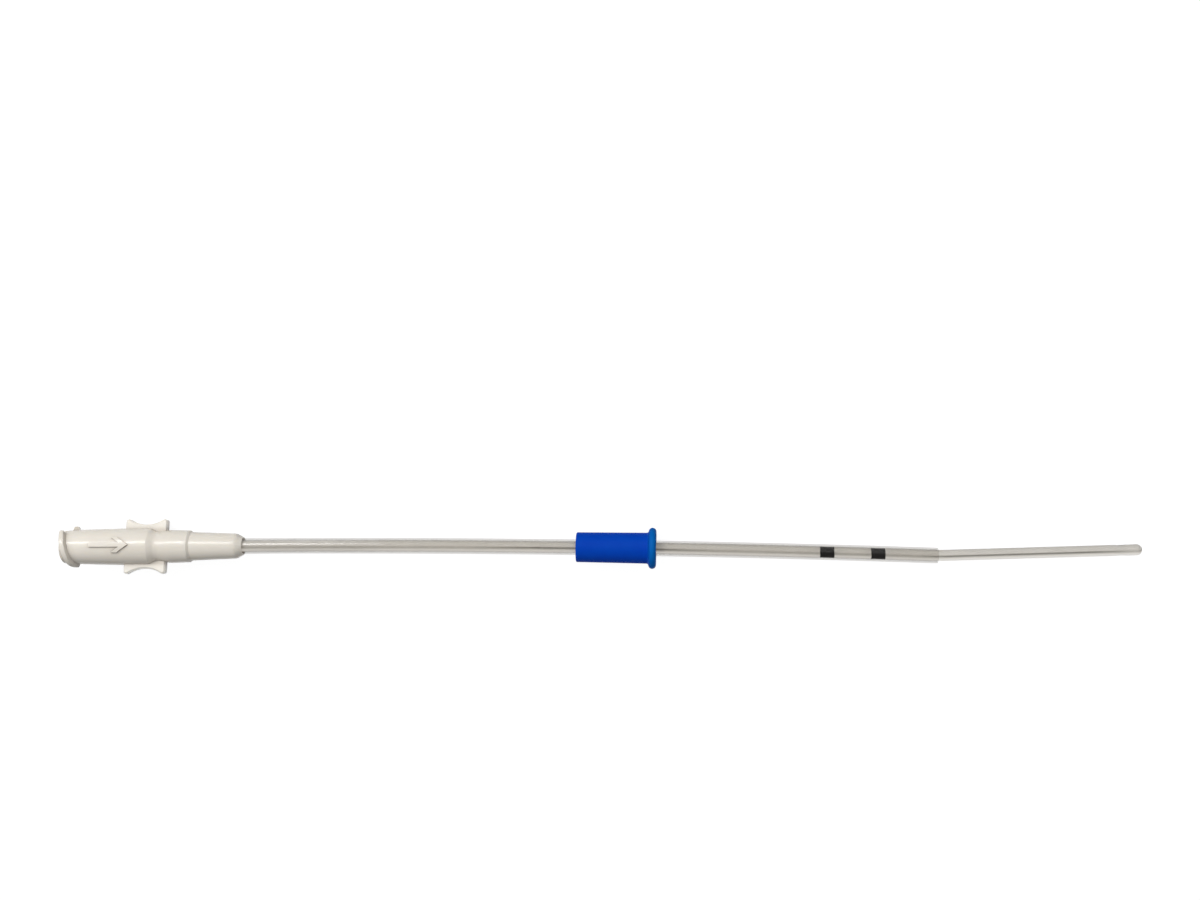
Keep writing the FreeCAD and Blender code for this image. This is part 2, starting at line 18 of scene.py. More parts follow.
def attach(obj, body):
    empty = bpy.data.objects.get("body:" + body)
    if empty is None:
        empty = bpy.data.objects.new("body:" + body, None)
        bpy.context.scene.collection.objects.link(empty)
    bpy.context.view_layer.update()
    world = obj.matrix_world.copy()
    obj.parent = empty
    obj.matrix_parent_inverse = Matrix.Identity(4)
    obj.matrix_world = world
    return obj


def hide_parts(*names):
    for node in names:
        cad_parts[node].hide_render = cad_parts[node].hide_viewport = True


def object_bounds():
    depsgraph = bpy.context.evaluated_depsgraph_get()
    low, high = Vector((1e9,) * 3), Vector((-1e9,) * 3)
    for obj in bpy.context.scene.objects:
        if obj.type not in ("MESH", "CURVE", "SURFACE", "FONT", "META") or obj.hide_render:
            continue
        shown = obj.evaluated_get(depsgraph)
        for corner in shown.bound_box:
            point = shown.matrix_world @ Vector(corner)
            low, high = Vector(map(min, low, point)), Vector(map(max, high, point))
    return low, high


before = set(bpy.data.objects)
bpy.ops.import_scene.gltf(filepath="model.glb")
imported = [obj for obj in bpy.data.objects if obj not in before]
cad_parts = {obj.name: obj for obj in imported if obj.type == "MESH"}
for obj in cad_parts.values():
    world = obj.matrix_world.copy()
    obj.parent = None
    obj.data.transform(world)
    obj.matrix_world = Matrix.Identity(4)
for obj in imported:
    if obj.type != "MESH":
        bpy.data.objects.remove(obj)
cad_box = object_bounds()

MM = 0.001
print("CAD box in millimetres:", [[round(v / MM, 2) for v in corner] for corner in cad_box])

# %% [markdown]
# ## The lean
#
# The catheter bows in one plane. Laid down, it has rolled over until a wing touches the ground, and that
# plane leans with it, and dips a quarter of a degree towards the tip. Everything that belongs to the plane,
# the camera and lamps too, is easiest to write down as if the plane were level. One rotation then leans it
# all. The hub's wings are turned ten degrees further than the plane.

# %% The rotation that leans a place
LEAN = math.radians(30.7)
DIP = math.radians(0.25)
WING_TURN = math.radians(10)
HUB_ROLL = LEAN + WING_TURN
lean = Matrix.Rotation(DIP, 3, "Y") @ Matrix.Rotation(-LEAN, 3, "X")
print(f"the bow's plane leans {math.degrees(LEAN):.1f} degrees")

# %% [markdown]
# ## The camera
#
# The photograph looks square on to the plane of the bow, with the catheter below the middle of the picture.
# Turning the camera to look at the catheter would make its far side smaller. A lens that looks square on
# and is shifted sideways keeps the catheter's sides parallel, so the camera uses its horizontal shift.

# %% Set up the camera
PICTURE_WIDTH = 1200
NADIR_PIXEL = 680
MOUTH_PIXEL = 64
PIXEL_SIZE = 0.1905 * MM
CAMERA_HEIGHT_PIXELS = 1450
AXIS_RISE = 0.0059
CAMERA_Y = 17.8 * MM

camera_data = bpy.data.cameras.new("camera")
camera_data.sensor_width = 36
camera_data.lens = camera_data.sensor_width * CAMERA_HEIGHT_PIXELS / PICTURE_WIDTH
camera_data.shift_x = (PICTURE_WIDTH / 2 - NADIR_PIXEL) / PICTURE_WIDTH
camera_data.clip_start = 0.01
camera = bpy.data.objects.new("camera", camera_data)
above_bow = ((NADIR_PIXEL - MOUTH_PIXEL) * PIXEL_SIZE, CAMERA_Y, CAMERA_HEIGHT_PIXELS * PIXEL_SIZE)
camera.location = lean @ Vector(above_bow)
camera.rotation_euler = (lean @ Matrix.Rotation(-AXIS_RISE, 3, "Z")).to_euler()
bpy.context.scene.collection.objects.link(camera)
bpy.context.scene.camera = camera
bpy.context.scene.view_settings.view_transform = "Standard"
print(f"lens {camera_data.lens:.1f} mm, {camera.location.length:.3f} m from the luer mouth")

# %% [markdown]
# ## Shader maths in Python
#
# A material is a graph of small nodes. Wiring them by hand hides the formula, so a wrapped socket lets a
# formula be written as one: `1 - mask` adds its Math node. Every other node comes from one method, which
# sets the node's own settings first, because they decide which sockets it has.

# %% A wrapped socket and a finish
class Wire:
    """A node's output. Arithmetic on it adds a Math node and gives that node's output."""

    def __init__(self, finish, socket):
        self.finish = finish
        self.socket = socket

    def maths(self, operation, *values):
        """Adds a Math node with these values in its sockets, from the top down."""
        return self.finish.node("ShaderNodeMath", {"operation": operation}, dict(enumerate(values)))["Value"]

    def __add__(self, other):
        return self.maths("ADD", self, other)

    def __sub__(self, other):
        return self.maths("SUBTRACT", self, other)

    def __rsub__(self, other):
        return self.maths("SUBTRACT", other, self)

    def __mul__(self, other):
        return self.maths("MULTIPLY", self, other)

    def __abs__(self):
        return self.maths("ABSOLUTE", self)

    __radd__ = __add__
    __rmul__ = __mul__


class Finish:
    """A material, or the world, whose nodes all come from node()."""

    def __init__(self, owner):
        self.owner = owner
        owner.use_nodes = True
        self.tree = owner.node_tree
        self.tree.nodes.clear()

    def node(self, kind, settings, values):
        """Adds a node and gives its outputs by name. Values are keyed by a socket's name or number."""
        made = self.tree.nodes.new(kind)
        for name, setting in settings.items():
            setattr(made, name, setting)
        open_inputs = {socket.name: socket for socket in reversed(made.inputs) if socket.enabled}
        for name, value in values.items():
            socket = made.inputs[name] if isinstance(name, int) else open_inputs[name]
            if isinstance(value, Wire):
                self.tree.links.new(value.socket, socket)
            elif socket.type == "RGBA":
                socket.default_value = (*value, 1)
            else:
                socket.default_value = value
        return {socket.name: Wire(self, socket) for socket in made.outputs if socket.enabled}

    def blend(self, factor, first, second):
        """A colour that is the first where the factor is 0 and the second where it is 1."""
        settings = {"data_type": "RGBA", "clamp_factor": True}
        return self.node("ShaderNodeMix", settings, {"Factor": factor, "A": first, "B": second})["Result"]

    def noise(self, place, size, detail=2):
        """Cloudy noise from 0 to 1, with blotches of about this size in metres."""
        values = {"Vector": place, "Scale": 1 / size, "Detail": detail}
        return self.node("ShaderNodeTexNoise", {}, values)["Fac"]

    def band(self, place, low, high, edge):
        """1 between low and high and 0 outside, with soft edges this wide."""
        rise = self.node("ShaderNodeMapRange", {}, {"Value": place, "From Min": low, "From Max": low + edge})
        fall = self.node(
            "ShaderNodeMapRange", {}, {"Value": place, "From Min": high - edge, "From Max": high}
        )
        return rise["Result"] - fall["Result"]

    def cover(self, mesh, shader):
        """Ends the material in this shader and gives it to the mesh."""
        self.node("ShaderNodeOutputMaterial", {}, {"Surface": shader})
        mesh.materials.clear()
        mesh.materials.append(self.owner)
        print(f"{self.owner.name}: {len(self.tree.nodes)} nodes")


def plastic(name):
    """A new material, with no nodes yet."""
    return Finish(bpy.data.materials.new(name))


def linear(red, green, blue):
    """A colour as a screen gives it, from 0 to 255, turned into the even scale that light adds up in."""
    return tuple((value / 255) ** 2.2 for value in (red, green, blue))


print(f"half grey on a screen is {linear(128, 128, 128)[0]:.2f} of the light of white")


# %% [markdown]
# ## White ground and soft light from above
#
# The picture is cut out on white. A brighter lamp would make the ground white, but it would also wash out
# the catheter. So the floor glows, only for rays from the camera, mirrors and glass, and everything else
# sees it as nearly black, so it throws little light up. The floor also keeps a matt part that lamps light,
# and that part shows the shadow.

# %% Make the floor
FLOOR_HALF = 2.0
floor_height = cad_box[0][2]
floor_mesh = bpy.data.meshes.new("floor")
corners = [(x * FLOOR_HALF, y * FLOOR_HALF, floor_height) for x, y in ((-1, -1), (1, -1), (1, 1), (-1, 1))]
floor_mesh.from_pydata(corners, [], [(0, 1, 2, 3)])
floor = bpy.data.objects.new("floor", floor_mesh)
bpy.context.scene.collection.objects.link(floor)

ground = plastic("ground")
ray = ground.node("ShaderNodeLightPath", {}, {})
seen = ground.node(
    "ShaderNodeMath",
    {"operation": "ADD", "use_clamp": True},
    {0: ray["Is Camera Ray"], 1: ray["Is Glossy Ray"] + ray["Is Transmission Ray"]},
)["Value"]
FLOOR_GLOW = 0.9
MATT_GREY = (0.35, 0.35, 0.35)
HIDDEN_GREY = (0.06, 0.06, 0.06)
matt = ground.node("ShaderNodeBsdfDiffuse", {}, {"Color": MATT_GREY})["BSDF"]
glow = ground.node("ShaderNodeEmission", {}, {"Color": (1, 1, 1), "Strength": FLOOR_GLOW})["Emission"]
lit = ground.node("ShaderNodeAddShader", {}, {0: matt, 1: glow})["Shader"]
hidden = ground.node("ShaderNodeBsdfDiffuse", {}, {"Color": HIDDEN_GREY})["BSDF"]
shown = ground.node("ShaderNodeMixShader", {}, {0: seen, 1: hidden, 2: lit})["Shader"]
ground.cover(floor_mesh, shown)
print(f"floor at {floor_height / MM:.2f} mm")

# %% [markdown]
# ## The lamps
#
# The hub and the first stretch of the sheath carry one narrow white line, and further along it fades. That
# is a long strip lamp, above and behind the catheter, that ends near the hub. The rest is soft light from a
# wide panel above and behind, and a weak sky that looks white to the camera.

# %% Hang the lamps
def panel(name, place, width, depth, watts):
    """A rectangular lamp of this width along X, turned to face the X axis. It leans with the bow's plane."""
    data = bpy.data.lights.new(name, "AREA")
    data.shape = "RECTANGLE"
    data.size = width
    data.size_y = depth
    data.energy = watts
    lamp = bpy.data.objects.new(name, data)
    lamp.location = lean @ Vector(place)
    slope = math.atan2(place[1], place[2])
    lamp.rotation_euler = (lean @ Matrix.Rotation(-slope, 3, "X")).to_euler()
    bpy.context.scene.collection.objects.link(lamp)


STRIP_ANGLE = math.radians(33)
STRIP_DISTANCE = 0.36
STRIP_LEFT = -0.40
STRIP_RIGHT = -0.033
STRIP_DEPTH = 0.055
STRIP_WATTS = 0.9
strip_place = (
    (STRIP_LEFT + STRIP_RIGHT) / 2,
    STRIP_DISTANCE * math.sin(STRIP_ANGLE),
    STRIP_DISTANCE * math.cos(STRIP_ANGLE),
)
panel("strip", strip_place, STRIP_RIGHT - STRIP_LEFT, STRIP_DEPTH, STRIP_WATTS)
BANK_ANGLE = math.radians(36)
BANK_DISTANCE = 0.8
BANK_MIDDLE = 0.1
BANK_WIDTH = 1.4
BANK_DEPTH = 0.9
BANK_WATTS = 3.4
bank_place = (BANK_MIDDLE, BANK_DISTANCE * math.sin(BANK_ANGLE), BANK_DISTANCE * math.cos(BANK_ANGLE))
panel("bank", bank_place, BANK_WIDTH, BANK_DEPTH, BANK_WATTS)

world = bpy.data.worlds.new("sky")
bpy.context.scene.world = world
sky = Finish(world)
ray = sky.node("ShaderNodeLightPath", {}, {})
SKY_LIGHT = 0.28
strength = SKY_LIGHT + (1 - SKY_LIGHT) * ray["Is Camera Ray"]
air = sky.node("ShaderNodeBackground", {}, {"Color": (1, 1, 1), "Strength": strength})["Background"]
sky.node("ShaderNodeOutputWorld", {}, {"Surface": air})
print(f"strip {STRIP_RIGHT - STRIP_LEFT:.2f} m long, panel {BANK_WIDTH} by {BANK_DEPTH} m")

# %% [markdown]
# ## A profile carried along a path
#
# The sheath and the tube are extrusions: one round section carried along a line that bows. A curve with a
# bevel would do, but it can't narrow to a tip or fold back inside. Here each is a grid of points: one
# number runs along the profile, the other round the tube. The stopper is the same with a straight path.

# %% Make the paths
NOSE = 34.1 * MM
BOW_RADIUS = 3370 * MM
SHEATH_REACH = 132.2 * MM
SHEATH_SEAT = 12.0 * MM
TUBE_SEAT = 9.0 * MM
LONGEST_PATH = 250 * MM
PATH_POINTS = 5001
sheath_start = NOSE - SHEATH_SEAT
tube_start = sheath_start - TUBE_SEAT


def bowed_path(start_x, turns):
    """Gives a function from distance along a path to its x, y and heading.

    Each turn has a beginning, an end and a signed radius. The heading is the sum, over the turns, of the
    distance walked within the turn over its radius. The place is the sum of short steps in that heading.
    """
    walked = np.linspace(0, LONGEST_PATH, PATH_POINTS)
    heading = sum(np.clip(walked - begin, 0, end - begin) / radius for begin, end, radius in turns)
    middle = (heading[1:] + heading[:-1]) / 2
    step = np.diff(walked)
    x = start_x + np.concatenate(([0], np.cumsum(step * np.cos(middle))))
    y = np.concatenate(([0], np.cumsum(step * np.sin(middle))))
    return lambda distance: [np.interp(distance, walked, values) for values in (x, y, heading)]


bow_turn = math.asin(SHEATH_REACH / BOW_RADIUS)
sheath_length = NOSE - sheath_start + BOW_RADIUS * bow_turn
sheath_path = bowed_path(sheath_start, [(NOSE - sheath_start, sheath_length, -BOW_RADIUS)])
print(f"sheath {sheath_length / MM:.1f} mm long, its end turned {math.degrees(bow_turn):.2f} degrees")

# %% [markdown]
# ## From a grid to a mesh
#
# A grid of points becomes quads by joining each point to its neighbours. Rounds at the edges matter: a
# moulded or cut edge always catches a little light, so each profile has short arcs at its corners.

# %% Grid surfaces
AROUND = 96
SAME_PLACE = 1e-8


def corner(along, radius, bevel, from_angle, to_angle, count=6):
    """Points of an arc round a corner's centre: centre plus bevel times the cosine and sine of an angle."""
    angle = np.radians(np.linspace(from_angle, to_angle, count))
    return along + bevel * np.cos(angle), radius + bevel * np.sin(angle)


def joined(*runs):
    """One profile out of several runs, each a pair of along and radius."""
    return [np.concatenate([np.atleast_1d(run[part]) for run in runs]) for part in (0, 1)]


def swept(path, along, radius):
    """A ring of points for each point of a profile.

    The ring's middle is the path's place at that distance along. A point is the middle, plus the radius times
    the cosine of its turn u sideways, plus the radius times the sine of u upwards.
    """
    x, y, heading = path(along)
    u = np.linspace(0, 2 * np.pi, AROUND, endpoint=False)
    side = radius[:, None] * np.cos(u)
    return np.stack(
        [
            x[:, None] - side * np.sin(heading)[:, None],
            y[:, None] + side * np.cos(heading)[:, None],
            radius[:, None] * np.sin(u),
        ],
        axis=2,
    )


def piece_from_grid(name, points, along, loop):
    """Leans a grid of points and joins it into quads.

    The quad at a row and column joins it to the next of each. Columns always close into a ring, and rows
    close where loop is true. The UV map holds turns round the piece and metres along it.
    """
    rows, columns = points.shape[:2]
    last_row = rows if loop else rows - 1
    row, column = np.meshgrid(np.arange(last_row), np.arange(columns), indexing="ij")
    next_row = (row + 1) % rows
    next_column = (column + 1) % columns
    quads = np.stack(
        [
            row * columns + column,
            row * columns + next_column,
            next_row * columns + next_column,
            next_row * columns + column,
        ],
        axis=2,
    ).reshape(-1, 4)
    mesh = bpy.data.meshes.new(name)
    mesh.from_pydata(points.reshape(-1, 3) @ np.array(lean).T, [], quads)
    round_it = np.stack([column, column + 1, column + 1, column], axis=2) / columns
    along_it = along[np.stack([row, row, next_row, next_row], axis=2)]
    layer = mesh.uv_layers.new(name="around_and_along")
    layer.data.foreach_set("uv", np.stack([round_it, along_it], axis=3).ravel())
    work = bmesh.new()
    work.from_mesh(mesh)
    bmesh.ops.remove_doubles(work, verts=work.verts, dist=SAME_PLACE)
    bmesh.ops.recalc_face_normals(work, faces=work.faces)
    volume = work.calc_volume(signed=True)
    work.to_mesh(mesh)
    work.free()
    mesh.shade_smooth()
    piece = bpy.data.objects.new(name, mesh)
    bpy.context.scene.collection.objects.link(piece)
    print(f"{name}: {len(mesh.polygons)} faces, {volume / MM ** 3:.1f} cubic millimetres")
    return piece


print(f"each ring has {AROUND} points")

# %% [markdown]
# ## The outer sheath
#
# The sheath is a thin stiff tube, cut square, with its edges eased by the cut. Its profile goes out along
# the outside, round the two small edges of the cut end, and back along the bore, so it closes on itself.

# %% Make the sheath
SHEATH_RADIUS = 1.5 * MM
SHEATH_BORE = 1.2 * MM
CUT_EDGE = 0.06 * MM
SHEATH_RINGS = 150
length_steps = np.linspace(0, sheath_length - CUT_EDGE, SHEATH_RINGS)
back_steps = length_steps[-2::-1]
sheath_profile = joined(
    (length_steps, np.full_like(length_steps, SHEATH_RADIUS)),
    corner(sheath_length - CUT_EDGE, SHEATH_RADIUS - CUT_EDGE, CUT_EDGE, 80, 0),
    corner(sheath_length - CUT_EDGE, SHEATH_BORE + CUT_EDGE, CUT_EDGE, 0, -90),
    (back_steps, np.full_like(back_steps, SHEATH_BORE)),
)
sheath = piece_from_grid("sheath", swept(sheath_path, *sheath_profile), sheath_profile[0], loop=True)
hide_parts("outer_sheath")
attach(sheath, "catheter")

# %% [markdown]
# ## The inner tube
#
# The tube starts in the hub, follows the sheath, and bends back a little where it leaves the sheath's
# mouth, as a soft tube does. Its end is closed and round. Two side eyes let the fluid out, so a slot is cut
# across it.

# %% Make the tube
TUBE_RADIUS = 1.05 * MM
TUBE_BORE = 0.6 * MM
TIP_ROUND = 1.0 * MM
TIP_WALL = 1.1 * MM
TIP_X = 205.2 * MM
BEND_RADIUS = 60 * MM
TUBE_RISE = math.radians(1.29)
TUBE_RINGS = 220
mouth_x = NOSE + SHEATH_REACH
bend_lead = BEND_RADIUS * math.tan((bow_turn + TUBE_RISE) / 2)
straight = NOSE - tube_start
bend_begins = straight + BOW_RADIUS * math.asin((mouth_x - bend_lead - NOSE) / BOW_RADIUS)
bend_ends = bend_begins + BEND_RADIUS * (bow_turn + TUBE_RISE)
tube_path = bowed_path(
    tube_start, [(straight, bend_begins, -BOW_RADIUS), (bend_begins, bend_ends, BEND_RADIUS)]
)
tube_length = bend_ends + (TIP_X - tube_path(bend_ends)[0]) / math.cos(TUBE_RISE)

outer_steps = np.linspace(0, tube_length - TIP_ROUND, TUBE_RINGS)
inner_steps = np.linspace(tube_length - TIP_WALL, 0, TUBE_RINGS)
tube_profile = joined(
    (outer_steps, np.full_like(outer_steps, TUBE_RADIUS)),
    corner(tube_length - TIP_ROUND, TUBE_RADIUS - TIP_ROUND, TIP_ROUND, 84, 0, count=16),
    (tube_length, 0.0),
    (tube_length - TIP_WALL, 0.0),
    (inner_steps, np.full_like(inner_steps, TUBE_BORE)),
)
tube = piece_from_grid("tube", swept(tube_path, *tube_profile), tube_profile[0], loop=True)

# %% [markdown]
# ## The side eyes
#
# The eyes are punched through the finished tube, one in each side wall. A Boolean modifier does the same: a
# long rod with a slot's outline passes through the tube, and what it covers is taken away. The rod is a grid
# too. It opens from a point at one end and closes to a point at the other, and its ends stand well clear of
# the tube, which lies 2 mm to the side of the hub's axis there.

# %% Cut the side eyes
EYE_HALF_WIDTH = 0.4 * MM
EYE_LENGTH = 1.8 * MM
EYE_FROM_TIP = 3.2 * MM
EYE_POINTS = 48
ROD_START = -6 * MM
ROD_END = 2 * MM
EYE_SHARP = math.radians(40)
# The slot's outline is a circle with its two halves pulled apart along the tube.
eye_turn = np.linspace(0, 2 * np.pi, EYE_POINTS, endpoint=False)
eye_stretch = np.sign(np.cos(eye_turn)) * (EYE_LENGTH / 2 - EYE_HALF_WIDTH)
eye_x = TIP_X - EYE_FROM_TIP - EYE_LENGTH / 2 + eye_stretch + EYE_HALF_WIDTH * np.cos(eye_turn)
eye_z = EYE_HALF_WIDTH * np.sin(eye_turn)
eye_middle = eye_x.mean()
rod_rows = [(ROD_START, 0), (ROD_START, 1), (ROD_END, 1), (ROD_END, 0)]
rod_points = []
for y, open_to in rod_rows:
    rod_x = eye_middle + (eye_x - eye_middle) * open_to
    rod_points.append(np.stack([rod_x, np.full(EYE_POINTS, y), eye_z * open_to], axis=1))
punch = piece_from_grid("eye_punch", np.array(rod_points), np.zeros(len(rod_rows)), loop=False)
punching = tube.modifiers.new("side eyes", "BOOLEAN")
punching.object = punch
punching.operation = "DIFFERENCE"
punching.solver = "EXACT"
bpy.context.view_layer.update()
cut_mesh = bpy.data.meshes.new_from_object(tube.evaluated_get(bpy.context.evaluated_depsgraph_get()))
tube.modifiers.clear()
tube.data = cut_mesh
bpy.data.objects.remove(punch)
cut_mesh.shade_smooth()
cut_mesh.set_sharp_from_angle(angle=EYE_SHARP)
print(f"tube {tube_length / MM:.1f} mm long, {len(cut_mesh.polygons)} faces after its eyes are cut")
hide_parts("inner_tube")
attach(tube, "catheter")

# %% [markdown]
# ## The stopper
#
# The stopper is turned: a short sleeve that swells a little to a round-edged flange. It grips the bowed
# sheath, so it is square to the sheath at its own middle. Its profile is closed, with the bore as its inner
# side.

# %% Make the stopper
STOPPER_LENGTH = 15.2 * MM
STOPPER_PLACE = 63.4 * MM + STOPPER_LENGTH / 2
REAR_RADIUS = 2.83 * MM
FRONT_RADIUS = 2.94 * MM
STOPPER_BORE = 1.55 * MM
FLANGE_RADIUS = 3.91 * MM
FLANGE_THICKNESS = 1.45 * MM
FLANGE_ROUND = FLANGE_THICKNESS / 2
FOOT_ROUND = 0.4 * MM
SLEEVE_ROUND = 0.2 * MM
BORE_ROUND = 0.1 * MM
STOPPER_SHARP = math.radians(60)
half = STOPPER_LENGTH / 2
flange_start = half - FLANGE_THICKNESS
stopper_turn = -math.asin(STOPPER_PLACE / BOW_RADIUS)
stopper_x = NOSE + STOPPER_PLACE
stopper_y = BOW_RADIUS * math.cos(stopper_turn) - BOW_RADIUS


def stopper_path(distance):
    """A straight line through the stopper's middle: the middle plus the distance times the heading."""
    heading = np.full_like(distance, stopper_turn)
    return stopper_x + distance * np.cos(heading), stopper_y + distance * np.sin(heading), heading


sleeve_steps = np.linspace(-half + SLEEVE_ROUND, flange_start - FOOT_ROUND, 12)
sleeve_radii = np.interp(sleeve_steps, (-half, flange_start), (REAR_RADIUS, FRONT_RADIUS))
stopper_profile = joined(
    corner(-half + BORE_ROUND, STOPPER_BORE + BORE_ROUND, BORE_ROUND, -90, -180, 5),
    corner(-half + SLEEVE_ROUND, REAR_RADIUS - SLEEVE_ROUND, SLEEVE_ROUND, 180, 95, 6),
    (sleeve_steps, sleeve_radii),
    corner(flange_start - FOOT_ROUND, FRONT_RADIUS + FOOT_ROUND, FOOT_ROUND, -78, 0, 7),
    corner(flange_start + FLANGE_ROUND, FLANGE_RADIUS - FLANGE_ROUND, FLANGE_ROUND, 180, 90, 10),
    corner(half - FLANGE_ROUND, FLANGE_RADIUS - FLANGE_ROUND, FLANGE_ROUND, 90, 0, 10),
    corner(half - BORE_ROUND, STOPPER_BORE + BORE_ROUND, BORE_ROUND, 0, -90, 5),
)
stopper = piece_from_grid("slider", swept(stopper_path, *stopper_profile), stopper_profile[0], loop=True)
stopper.data.set_sharp_from_angle(angle=STOPPER_SHARP)
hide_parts("stopper")
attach(stopper, "stopper")

# %% [markdown]
# ## The hub
#
# The hub is one moulding with a barrel, two thread lugs, two wings and a raised arrow, and the CAD model
# has all of it. Its mesh is loose flat triangles, which would show as facets in the gloss. A copy with its
# points merged can be shaded smooth, with sharp lines only where the moulding turns a real corner.

# %% Smooth the hub
SEAM_WIDTH = 0.5e-6
HUB_SHARP = math.radians(32)
hub_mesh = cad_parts["hub"].data.copy()
hub_mesh.name = "hub_moulding"
for attribute in [item for item in hub_mesh.attributes if item.name == "custom_normal"]:
    hub_mesh.attributes.remove(attribute)
work = bmesh.new()
work.from_mesh(hub_mesh)
bmesh.ops.remove_doubles(work, verts=work.verts, dist=SEAM_WIDTH)
work.to_mesh(hub_mesh)
work.free()
hub_mesh.shade_smooth()
hub_mesh.set_sharp_from_angle(angle=HUB_SHARP)
hub = bpy.data.objects.new("hub_moulding", hub_mesh)
bpy.context.scene.collection.objects.link(hub)
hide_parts("hub")
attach(hub, "catheter")
print(f"hub: {len(hub_mesh.vertices)} points, {len(hub_mesh.polygons)} faces")

# %% [markdown]
# ## Ivory moulded plastic
#
# The hub is glossy ivory plastic. Up close a moulding is never quite even: the flow leaves faint clouds,
# the mould's polish varies, and the two halves of the mould leave a fine line along the sides, level with
# the wings. An Ambient Occlusion node measures how open the space above each point is, within a short reach.
# Its result is painted shade: it darkens the ivory in the steps, at the lugs and round the arrow. The wings
# get a painted glow, which stands in for light coming through the thin plastic from behind. Both the wings
# and the mould's line are found from the distances across and above the hub's own middle, which is rolled.

# %% The hub's finish
BLACK = (0.0, 0.0, 0.0)
CREASE_REACH = 1.6 * MM
# Each band below is where it begins, where it ends, and how wide its soft edges are.
WING_ACROSS = (3.3 * MM, 7 * MM, 0.6 * MM)
WING_ALONG = (11 * MM, 20.5 * MM, 0.5 * MM)
PARTING_LINE = (-0.06 * MM, 0.06 * MM, 0.04 * MM)
ivory = plastic("hub_plastic")
place = ivory.node("ShaderNodeTexCoord", {}, {})["Object"]
parts = ivory.node("ShaderNodeSeparateXYZ", {}, {"Vector": place})
clouds = ivory.noise(place, 6 * MM, detail=3)
colour = ivory.blend(clouds, linear(251, 245, 234), linear(239, 231, 218))
# Painted shade: the Ambient Occlusion result darkens the ivory towards a shade colour in creases and steps.
openness = ivory.node(
    "ShaderNodeAmbientOcclusion", {"samples": 12, "only_local": True}, {"Distance": CREASE_REACH}
)["AO"]
painted_crease_shade = ivory.blend(1 - openness, colour, linear(128, 114, 102))
across = parts["Y"] * math.cos(HUB_ROLL) - parts["Z"] * math.sin(HUB_ROLL)
# Painted glow: the wings emit a little light, standing in for light coming through the thin plastic.
painted_wing_glow_mask = ivory.band(abs(across), *WING_ACROSS) * ivory.band(parts["X"], *WING_ALONG)
above_parting = parts["Z"] * math.cos(HUB_ROLL) + parts["Y"] * math.sin(HUB_ROLL)
parting = ivory.band(above_parting, *PARTING_LINE)
orange_peel = ivory.noise(place, 0.5 * MM)
height = orange_peel * 0.3 + parting
bump = ivory.node(
    "ShaderNodeBump", {}, {"Strength": 0.25, "Distance": 0.02 * MM, "Height": height}
)["Normal"]
shader = ivory.node(
    "ShaderNodeBsdfPrincipled",
    {},
    {
        "Base Color": painted_crease_shade,
        "Roughness": 0.2 + clouds * 0.08,
        "IOR": 1.5,
        "Subsurface Weight": 0.15,
        "Subsurface Radius": (1.0, 0.9, 0.7),
        "Subsurface Scale": 0.8 * MM,
        "Emission Color": ivory.blend(painted_wing_glow_mask, BLACK, linear(228, 234, 236)),
        "Emission Strength": 0.12,
        "Normal": bump,
    },
)["BSDF"]
ivory.cover(hub_mesh, shader)

# %% [markdown]
# ## A clear film of a sheath
#
# The sheath is thin and milky: the tube's black marks read through it. Real glass shaders bend light so
# much that little lamp light gets in. A thin film that is mostly see-through, denser at its edges where the
# eye looks through more wall, gives the same look and lets the light reach the tube. Fine lines run along it,
# as the die leaves them, so their noise is stretched. A gloss lies over the film. It is stronger near the
# hub, where the real sheath is polished rather than frosted.

# %% The sheath's finish
POLISHED = (30 * MM, 62 * MM, 16 * MM)
LINE_STRETCH = (60, 120, 1)
milky = plastic("sheath_plastic")
grain = milky.node("ShaderNodeUVMap", {"uv_map": "around_and_along"}, {})["UV"]
place = milky.node("ShaderNodeTexCoord", {}, {})["Object"]
along = milky.node("ShaderNodeSeparateXYZ", {}, {"Vector": place})["X"]
streaks = milky.node("ShaderNodeMapping", {}, {"Vector": grain, "Scale": LINE_STRETCH})["Vector"]
drawn_lines = milky.node("ShaderNodeTexNoise", {}, {"Vector": streaks, "Scale": 1, "Detail": 2})["Fac"]
facing = milky.node("ShaderNodeLayerWeight", {}, {"Blend": 0.5})["Facing"]
edge = milky.node("ShaderNodeMapRange", {}, {"Value": facing, "From Min": 0.2, "From Max": 0.5})["Result"]
polished = milky.band(along, *POLISHED)
film = 0.015 + edge * 0.15 + drawn_lines * 0.015
bump = milky.node(
    "ShaderNodeBump", {}, {"Strength": 0.15, "Distance": 0.01 * MM, "Height": drawn_lines}
)["Normal"]
skin = milky.node(
    "ShaderNodeBsdfPrincipled",
    {},
    {
        "Base Color": milky.blend(drawn_lines, linear(138, 134, 129), linear(152, 149, 145)),
        "Roughness": 0.3 + drawn_lines * 0.08,
        "IOR": 1.5,
        "Normal": bump,
    },
)["BSDF"]
clear = milky.node("ShaderNodeBsdfTransparent", {}, {"Color": (0.95, 0.945, 0.937)})["BSDF"]
wall = milky.node("ShaderNodeMixShader", {}, {0: film, 1: clear, 2: skin})["Shader"]
gloss = milky.node(
    "ShaderNodeBsdfAnisotropic", {}, {"Color": (1, 1, 1), "Roughness": 0.17, "Normal": bump}
)["BSDF"]
mirror = milky.node("ShaderNodeLayerWeight", {}, {"Blend": 0.33, "Normal": bump})["Fresnel"]
most = 0.01 + polished * 0.2
shine = milky.node("ShaderNodeMath", {"operation": "MINIMUM"}, {0: mirror, 1: most})["Value"]
glossy_wall = milky.node("ShaderNodeMixShader", {}, {0: shine, 1: wall, 2: gloss})["Shader"]
milky.cover(sheath.data, glossy_wall)
